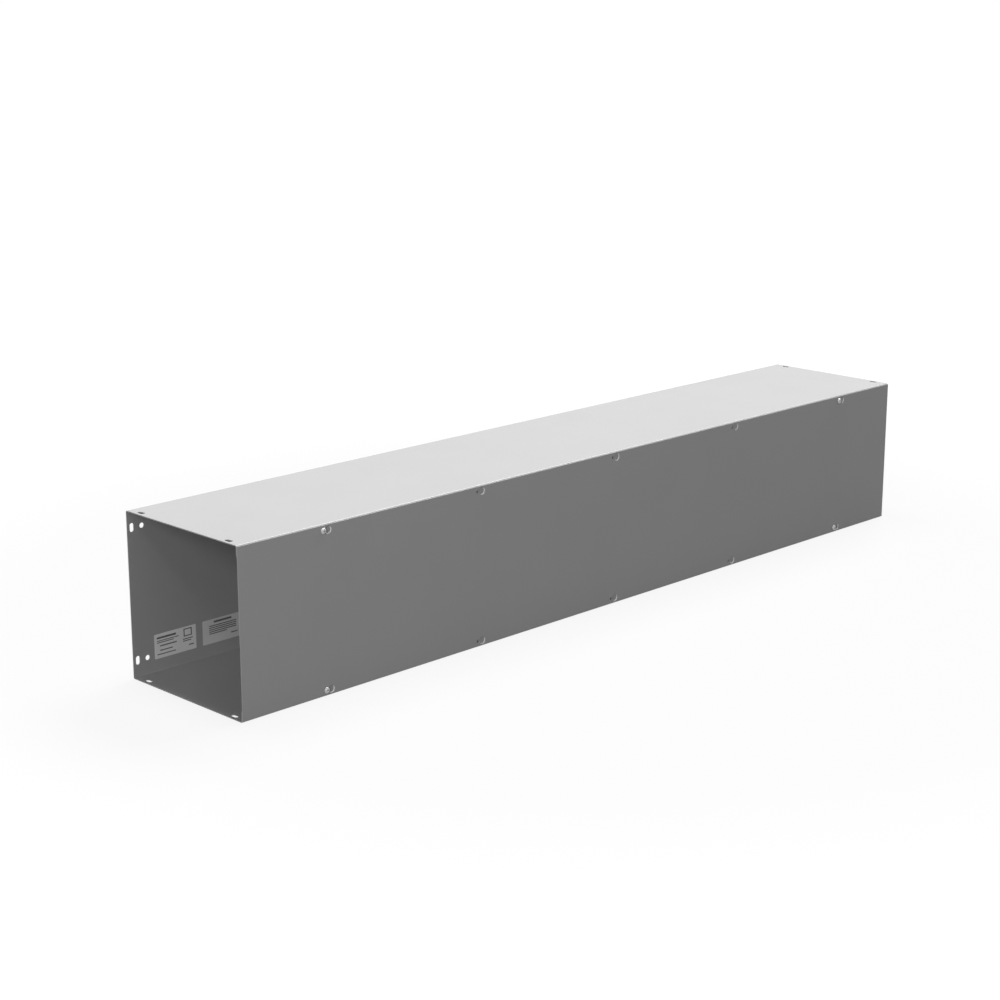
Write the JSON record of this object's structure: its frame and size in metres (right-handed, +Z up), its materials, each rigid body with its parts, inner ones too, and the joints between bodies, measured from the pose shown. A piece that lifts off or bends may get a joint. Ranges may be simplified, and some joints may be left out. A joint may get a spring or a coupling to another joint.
{
  "type": "screw cover wireway",
  "caption": "Square folded sheet steel wireway, open at both ends, with joint slots, wall mounting holes and a flat screwed-on cover with keyholes, for laying in cables.",
  "frame": {"origin": "middle of the trough's underside", "axes": "+X along the trough, -Y out of the cover, +Y out of the wall side, +Z up"},
  "size_m": [1.524, 0.2619, 0.257],
  "materials": {
    "grey_paint": "satin powder coat",
    "plated_steel": "zinc plated"
  },
  "bodies": {
    "root": {"trough": "grey_paint", "cover": "grey_paint", "cover_screw_bottom_1": "plated_steel", "cover_screw_bottom_5": "plated_steel", "cover_screw_top_1": "plated_steel", "cover_screw_top_5": "plated_steel"}
  },
  "joints": []
}
